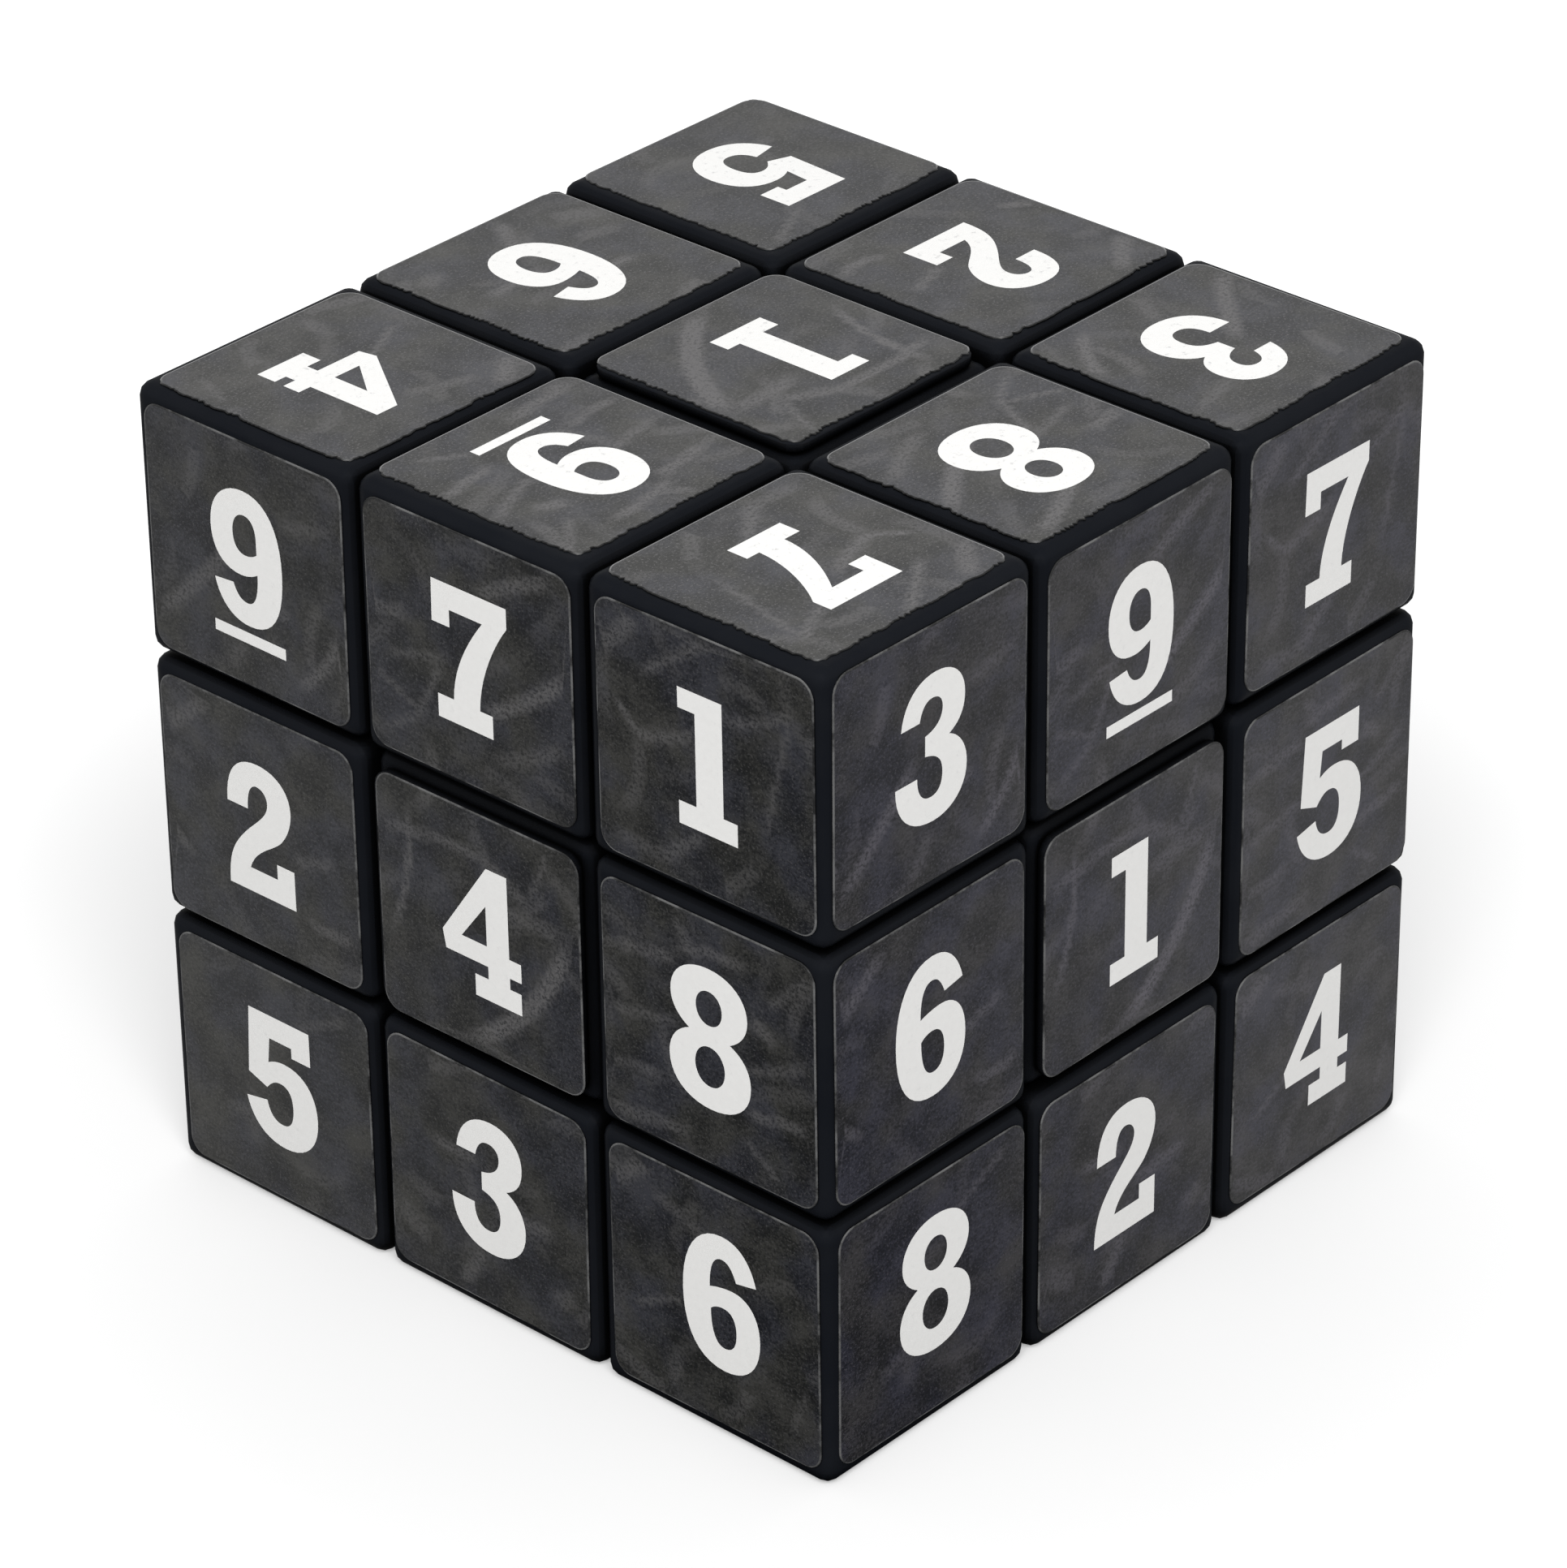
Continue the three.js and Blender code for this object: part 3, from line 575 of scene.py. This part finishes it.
def dress_solids():
    """A finish for every solid, by the material slot that its record gives."""
    skin = moulded_group()
    finishes = {
        "black_plastic": moulded_plastic("black_plastic", skin, dark=(0.0065, 0.0075, 0.01, 1),
                                         pale=(0.008, 0.009, 0.0115, 1), gloss=0.3, dull=0.42),
        "core_plastic": moulded_plastic("core_plastic", skin, dark=grey(0.016), pale=grey(0.022),
                                        gloss=0.4, dull=0.55),
        "plated_steel": plated_metal("plated_steel", colour=(0.62, 0.63, 0.66, 1), stretch=(1, 1, 6)),
        "spring_steel": plated_metal("spring_steel", colour=(0.42, 0.43, 0.45, 1), stretch=(6, 6, 1)),
    }
    for entry in frame["record"]["subparts"]:
        frame["nodes"][entry["node"]].data.materials[0] = finishes[entry["material_slot"]]
    return finishes


# Helpers that build pieces

def face_axes(side):
    """The ways right, up and outwards on a face, as rows."""
    right, up, _ = FACES[side]
    return np.array([right, up, np.cross(right, up)])


def ring_walls(count, levels):
    """Four-sided faces that join each ring of points to the next one."""
    here = np.arange(count)
    after = np.roll(here, -1)
    wall = np.stack([here, after, after + count, here + count], axis=1)
    return np.concatenate([wall + level * count for level in range(levels)])


# The springs

def spring_mesh(name, axes, material):
    """A spring as a tube of wire round a helix.

    Circles of wire stand in planes through the axis and turn round it by equal steps. At first they lie flat
    on the seat, then they rise evenly, and at last they lie flat under the washer. A face closes each end.
    """
    levels = SPRING_CURLS * CURL_STEPS
    curl = np.linspace(0, SPRING_CURLS, levels + 1)[:, None]
    turn = 2 * math.pi * curl
    rise = np.clip((curl - FLAT_CURL) / (SPRING_CURLS - 2 * FLAT_CURL), 0, 1)
    around = np.linspace(0, 2 * math.pi, WIRE_SIDES, endpoint=False)
    reach = SPRING_RADIUS + SPRING_WIRE / 2 * np.cos(around)
    middle = SEAT + SPRING_WIRE / 2 + rise * (WASHER - SEAT - SPRING_WIRE)
    height = middle + SPRING_WIRE / 2 * np.sin(around)
    points = np.stack([reach * np.cos(turn), reach * np.sin(turn), height], axis=2).reshape(-1, 3)
    walls = ring_walls(WIRE_SIDES, levels)[:, [0, 3, 2, 1]]  # turned over, to face out of the wire
    end = np.arange(WIRE_SIDES)
    faces = walls.tolist() + [end.tolist(), (end[::-1] + levels * WIRE_SIDES).tolist()]
    mesh = bpy.data.meshes.new(name)
    mesh.from_pydata((points @ axes * MM).tolist(), [], faces)
    mesh.polygons.foreach_set("use_smooth", np.arange(len(faces)) < len(walls))
    mesh.materials.append(material)
    return mesh


def make_springs(material):
    """A spring in place of each spring's solid, riding with that solid's body."""
    for side in FACES:
        node, joint, name = f"{side}_spring", f"{side}_pull", f"{side}_coil"
        axes = face_axes(side)
        piece = add_object(name, spring_mesh(name, axes, material))
        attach(piece, frame["nodes"][node]["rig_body"])
        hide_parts(node)
        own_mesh(piece)


# The label pieces

INSIDE_ONLY = 1  # the kind of filling that keeps the triangles inside the outlines
MERGE_WITHIN = 1e-6


def rounded_square(size, corner, side_steps):
    """Points of a square with round corners, and the way out at each of them.

    A circle's middle goes round the inset square. It turns through a quarter circle at each corner of it and
    then moves along the straight side in equal steps, and the outline is the circle's outermost point.
    """
    quarter = np.arange(4)[:, None] * math.pi / 2
    arc = np.linspace(0, math.pi / 2, CORNER_STEPS + 1)
    turn = quarter + np.concatenate([arc, np.full(side_steps - 1, math.pi / 2)])
    moved = np.concatenate([np.zeros(CORNER_STEPS + 1), np.arange(1, side_steps) / side_steps])[:, None]
    inner = (size - 2 * corner) / math.sqrt(2)
    diagonal = quarter + math.pi / 4
    here = inner * np.concatenate([np.cos(diagonal), np.sin(diagonal)], axis=1)
    after = np.roll(here, -1, axis=0)
    out = np.stack([np.cos(turn), np.sin(turn)], axis=2)
    points = here[:, None] + moved * (after - here)[:, None] + corner * out
    return points.reshape(-1, 2), out.reshape(-1, 2)


def torn_edges(out):
    """How torn a top label's outline is, by the way out: fully along its front and right edges."""
    return np.clip(TORN_SLOPE * (out.max(axis=1) - TORN_FROM), 0, 1)


def bite_depths(count):
    """How deep a torn outline is bitten at each point: random teeth, deeper and shallower in random runs."""
    knots = TEAR.uniform(0, 1, count // BITE_RUN + 2)
    runs = np.interp(np.arange(count) / BITE_RUN, np.arange(len(knots)), knots)
    return BITE * runs * TEAR.uniform(LEAST_BITE, 1, count)


def label_rings(on_top):
    """The rings of a label, their heights, and how torn the label is at each point of a ring.

    The rings go up its wall, over its bevel and in along its rim. A label on top is torn along the two edges
    that are turned to the front and the right of the cube.
    """
    insets = (0, 0, FILM_BEVEL, FILM_BEVEL + RIM_WIDTH)
    heights = (0, FILM - FILM_BEVEL, FILM, FILM)
    side_steps = BITE_STEPS if on_top else 1
    squares = [rounded_square(LABEL - 2 * inset, LABEL_CORNER - inset, side_steps) for inset in insets]
    out = squares[0][1]
    torn = torn_edges(out) if on_top else np.zeros(len(out))
    bitten = (torn * bite_depths(len(out)))[:, None] * out
    return [points - bitten for points, _ in squares], heights, torn


def curve_points(start, handles_and_end):
    """Points of a cubic curve after its start, weighted by its two ends and two handles."""
    t = np.linspace(0, 1, CURVE_STEPS + 1)[1:, None]
    weights = ((1 - t) ** 3, 3 * t * (1 - t) ** 2, 3 * t ** 2 * (1 - t), t ** 3)
    return sum(weight * point for weight, point in zip(weights, (start, *handles_and_end)))


def digit_outlines(digit):
    """Closed counterclockwise outlines of a digit, made of straight lines and cubic curves."""
    outlines = []
    words = DIGITS[digit].split()
    at = 0
    while at < len(words):
        command = words[at]
        count = 6 if command == "C" else 2
        values = np.array(words[at + 1:at + 1 + count], float).reshape(-1, 2)
        at += 1 + count
        if command == "M":
            outlines.append([values])
        elif command == "L":
            outlines[-1].append(values)
        else:
            outlines[-1].append(curve_points(outlines[-1][-1][-1], values))
    closed = [np.concatenate(parts) for parts in outlines]
    single = [line[:-1] if np.allclose(line[0], line[-1]) else line for line in closed]
    return [line if turns_left(line) else line[::-1] for line in single]


def turns_left(line):
    """Whether a closed outline runs counterclockwise: the sum of its edges' cross products is positive."""
    after = np.roll(line, -1, axis=0)
    return (line[:, 0] * after[:, 1] - line[:, 1] * after[:, 0]).sum() > 0


def print_grid():
    """Points of an even grid that lie inside the label, clear of its rounded outline."""
    half = LABEL / 2 - 2 * PRINT_GRID
    across, above = np.meshgrid(*[np.linspace(-half, half, round(2 * half / PRINT_GRID) + 1)] * 2)
    grid = np.stack([across.ravel(), above.ravel()], axis=1)
    past_corner = np.maximum(np.abs(grid) - (LABEL / 2 - LABEL_CORNER), 0)
    return grid[np.linalg.norm(past_corner, axis=1) < LABEL_CORNER - PRINT_GRID]


def chalk_at(places):
    """How strong the chalk is at places on the sheet: the strongest stroke there.

    A stroke is even near its line and fades with the square of the distance from it. The line bows to the
    left by a parabola, and the stroke fades evenly towards its two ends.
    """
    chalk = np.zeros(len(places))
    for start_x, start_y, end_x, end_y, bow, width, strength in STROKES:
        way = np.array([end_x - start_x, end_y - start_y]) / 2
        half = np.linalg.norm(way)
        left = np.array([-way[1], way[0]]) / half
        offset = places - (np.array([start_x, start_y]) + way)
        along = offset @ way / half ** 2
        beside = offset @ left - bow * (1 - along ** 2)
        across = np.clip(STROKE_CORE * (1 - (2 * beside / width) ** 2), 0, 1)
        ends = np.clip((STROKE_REACH - np.abs(along)) / STROKE_FADE, 0, 1)
        chalk = np.maximum(chalk, strength * across * ends)
    return chalk


def printed_top(ring, outlines):
    """Triangles that fill the ring, with the digit's outlines as edges, and which of them are ink.

    A triangle is ink where it lies inside an odd number of the digit's outlines.
    """
    lines = [ring] + outlines
    starts = np.cumsum([0] + [len(line) for line in lines])
    loops = [list(range(start, end)) for start, end in zip(starts[:-1], starts[1:])]
    flat = [Vector(point) for point in np.concatenate(lines + [print_grid()])]
    points, _, triangles, _, _, inside = delaunay_2d_cdt(flat, [], loops, INSIDE_ONLY, MERGE_WITHIN)
    ink = np.array([(len(set(loops_in) - {0}) % 2) == 1 for loops_in in inside])
    return np.array([(p.x, p.y) for p in points]), np.array(triangles), ink


def carry_values(mesh, values, on_sheet):
    """Gives the points of a label their values, and its UV map their places on the printed sheet."""
    for name, value in values.items():
        mesh.attributes.new(name, "FLOAT", "POINT").data.foreach_set("value", value)
    corners = np.zeros(len(mesh.loops), int)
    mesh.loops.foreach_get("vertex_index", corners)
    uv = mesh.uv_layers.new(name="sheet")
    uv.data.foreach_set("uv", (on_sheet[corners] / (2 * FACE) + 0.5).ravel())


def label_mesh(name, side, digit, drift, middle, turn, materials):
    """A label as rings of a rounded square that are joined by four-sided faces.

    The top is filled round the digit, and the underside is one face. The label is turned on its tile, moved
    to its place on the face and set out from the cube's middle along the face's ways.
    """
    on_top = side == "top"
    rings, heights, torn = label_rings(on_top)
    count, levels = len(torn), len(rings) - 1
    top, triangles, ink = printed_top(rings[-1], [line + drift for line in digit_outlines(digit)])
    flat = np.concatenate(rings[:-1] + [top])
    spin = np.array([[math.cos(turn), -math.sin(turn)], [math.sin(turn), math.cos(turn)]])
    on_sheet = flat @ spin.T + middle
    height = np.concatenate([np.repeat(heights[:-1], count), np.full(len(top), FILM)])
    points = np.column_stack([on_sheet, height + FACE]) @ face_axes(side) * MM
    walls = ring_walls(count, levels)
    underside = np.arange(count)[::-1]
    faces = walls.tolist() + (triangles + levels * count).tolist() + [underside.tolist()]
    mesh = bpy.data.meshes.new(name)
    mesh.from_pydata(points.tolist(), [], faces)
    for material in materials:
        mesh.materials.append(material)
    slots = np.full(len(faces), RIM_SLOT)
    slots[len(walls):-1] = np.where(ink, INK_SLOT, FILM_SLOT)
    mesh.polygons.foreach_set("material_index", slots)
    values = {
        "wear": np.full(len(flat), TOP_WEAR if on_top else SIDE_WEAR),
        "cool": np.full(len(flat), COOL.get(side, COOL_UNSEEN)),
        "torn": np.concatenate([torn] * len(rings) + [np.zeros(len(top) - count)]),
        "chalk": chalk_at(on_sheet),
    }
    carry_values(mesh, values, on_sheet)
    return mesh


def cubie_name(way):
    """The node under a tile, from the tile's way out from the middle of the cube."""
    words = []
    for axis, (low, high) in ((2, ("bottom", "top")), (1, ("front", "back")), (0, ("left", "right"))):
        if way[axis]:
            words.append(high if way[axis] > 0 else low)
    ending = ("centre_cap", "edge", "corner")[len(words) - 1]
    return "_".join(words + [ending])


def make_label(side, row, column, digit, materials):
    """One printed label on its tile, riding with the cubie that it is stuck to.

    The label makes up part of the way that its digit sits off the tile's middle, and the print the rest.
    """
    across, above = column - 1, 1 - row
    drawn = DRAW.uniform(-DRIFT, DRIFT, 2)
    digit_place = np.array(PLACED[side][3 * row + column]) if side in PLACED else drawn
    shift = np.clip(digit_place / 2, -SHIFT, SHIFT)
    turn = math.radians(DRAW.uniform(-TWIST, TWIST))
    middle = np.array([across, above]) * OUTER_TILE + shift
    name = f"{side}_label_{digit}"
    piece = add_object(name, label_mesh(name, side, digit, digit_place - shift, middle, turn, materials))
    way = np.array([across, above, 1]) @ face_axes(side)
    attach(piece, frame["nodes"][cubie_name(way)]["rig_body"])


def make_labels():
    """The labels of all faces, row by row."""
    materials = [slate_print(rub_strokes_group()), white_ink(), pale_rim()]
    for side, (_, _, rows) in FACES.items():
        for row, digits in enumerate(rows):
            for column, digit in enumerate(digits):
                make_label(side, row, column, digit, materials)


# The studio

FLOOR_SIZE = 6.0
FLOOR_OPENING = 0.92  # side of the opening, as a share of the cube's
FLOOR_GAP = 0.01  # under the lowest label, in millimetres
FLOOR_SHADE = grey(0.58)
DARK_SIDE = math.radians(39.3)
TOWARDS = (math.sin(DARK_SIDE), -math.cos(DARK_SIDE), 0)  # to the front of the cube, where the floor has a painted shadow in the gloss
PAPER, NEAR_PAINTED_SHADOW = grey(0.3), (0.015, 0.018, 0.028, 1)
DARK_BAND = (-0.004, 0.042)  # where the mirrored floor goes from paper to a painted shadow
# Painted light: the floor is paler behind the cube in the light that it bounces onto the cube
BOUNCE_NEAR, BOUNCE_BEHIND_PAINTED_LIGHT = grey(0.26), grey(0.75)
BOUNCE_BAND = (-0.03, -0.09)
GLOW_NEAR_PAINTED_SHADOW, GLOW_FAR = 0.3, 0.6
GLOW_BAND = (0.05, 0.13)  # where the painted shadow of the weaker glow fades out, from the cube's middle
BACKDROP_LOW, BACKDROP_HIGH = 0.58, 0.18
BACKDROP_BAND = (0.5, 0.95)
FILL_NEAR, FILL_BEHIND = 0.55, 1.15
FILL_BAND = (-0.3, -0.95)
LAMP_SIZE, LAMP_PLACE, LAMP_POWER = 0.6, (0.5, -0.52, 0.69), 10.9


def white_floor():
    """White paper that shows the camera a clean white with the cube's shadow, deepened near the cube by a
    painted shadow where its glow is weaker, and is clear from below.

    In the cube's gloss it is pale under and behind the cube, with a painted shadow in front of it, and in the
    light that it bounces it is paler behind the cube, a painted pool of light.
    """
    material, tree, shader = new_material("white_floor")
    path = add(tree, "ShaderNodeLightPath").outputs
    seen = path["Is Camera Ray"]
    place = object_place(tree)
    nearness = dot(tree, place, TOWARDS)
    away = add(tree, "ShaderNodeVectorMath", {0: place}, operation="LENGTH").outputs["Value"]
    # Painted shadow in front of the cube, seen only in the gloss
    mirrored = blend(tree, ramp(tree, nearness, *DARK_BAND), PAPER, NEAR_PAINTED_SHADOW)
    # Painted pool of light behind the cube, seen only by bounced light
    bounce_with_painted_light = blend(tree, ramp(tree, nearness, *BOUNCE_BAND), BOUNCE_NEAR, BOUNCE_BEHIND_PAINTED_LIGHT)
    unseen = blend(tree, path["Is Glossy Ray"], bounce_with_painted_light, mirrored)
    # Painted shadow: the floor's glow for the camera is weaker near the cube
    glow_with_painted_shadow = ramp(tree, away, *GLOW_BAND, GLOW_NEAR_PAINTED_SHADOW, GLOW_FAR)
    connect(tree, shader, {
        "Base Color": blend(tree, seen, unseen, FLOOR_SHADE),
        "Roughness": 0.9,
        "Specular IOR Level": 0.0,
        "Emission Color": grey(1.0),
        "Emission Strength": calc(tree, "MULTIPLY", seen, glow_with_painted_shadow),
    })
    below = add(tree, "ShaderNodeNewGeometry").outputs["Backfacing"]
    clear = add(tree, "ShaderNodeBsdfTransparent").outputs[0]
    one_sided = add(tree, "ShaderNodeMixShader", {0: below, 1: shader.outputs[0], 2: clear}).outputs[0]
    connect(tree, tree.nodes["Material Output"], {"Surface": one_sided})
    return material


def make_floor():
    """A floor of four faces in a square round an opening, so that the cube's underside can be seen."""
    corners = np.array([(-1, -1), (1, -1), (1, 1), (-1, 1)])
    flat = np.concatenate([corners * FLOOR_SIZE / 2, corners * FLOOR_OPENING * FACE * MM])
    level = np.full((len(flat), 1), -(FACE + FILM + FLOOR_GAP) * MM)
    mesh = bpy.data.meshes.new("floor")
    mesh.from_pydata(np.concatenate([flat, level], axis=1).tolist(), [], ring_walls(4, 1).tolist())
    mesh.materials.append(white_floor())
    floor = add_object("floor", mesh)


def make_lamp():
    """A square soft lamp that points at the cube and leaves no glare on the labels."""
    data = bpy.data.lights.new("soft_lamp", "AREA")
    data.size = LAMP_SIZE
    data.energy = LAMP_POWER
    lamp = add_object("soft_lamp", data)
    lamp.location = LAMP_PLACE
    lamp.rotation_euler = Vector(LAMP_PLACE).to_track_quat("Z", "Y").to_euler()
    lamp.visible_glossy = False


def make_surroundings():
    """Even surroundings, brighter behind the cube.

    Glossy surfaces show a pale backdrop that darkens upwards, and the camera sees plain white.
    """
    world = bpy.data.worlds.new("surroundings")
    world.use_nodes = True
    tree = world.node_tree
    path = add(tree, "ShaderNodeLightPath").outputs
    way = add(tree, "ShaderNodeTexCoord").outputs["Generated"]
    height = add(tree, "ShaderNodeSeparateXYZ", {0: way}).outputs[2]
    backdrop = ramp(tree, height, *BACKDROP_BAND, BACKDROP_LOW, BACKDROP_HIGH)
    mirrored = calc(tree, "MULTIPLY", path["Is Glossy Ray"], backdrop)
    fill = ramp(tree, dot(tree, way, TOWARDS), *FILL_BAND, FILL_NEAR, FILL_BEHIND)
    plain = calc(tree, "MULTIPLY", calc(tree, "SUBTRACT", 1.0, path["Is Glossy Ray"]), fill)
    strength = calc(tree, "MAXIMUM", path["Is Camera Ray"], calc(tree, "ADD", mirrored, plain))
    connect(tree, tree.nodes["Background"], {"Color": grey(1.0), "Strength": strength})
    bpy.context.scene.world = world


make_camera()
finishes = dress_solids()
make_springs(finishes["spring_steel"])
make_labels()
make_floor()
make_surroundings()
make_lamp()
bpy.context.scene.view_settings.view_transform = "Standard"
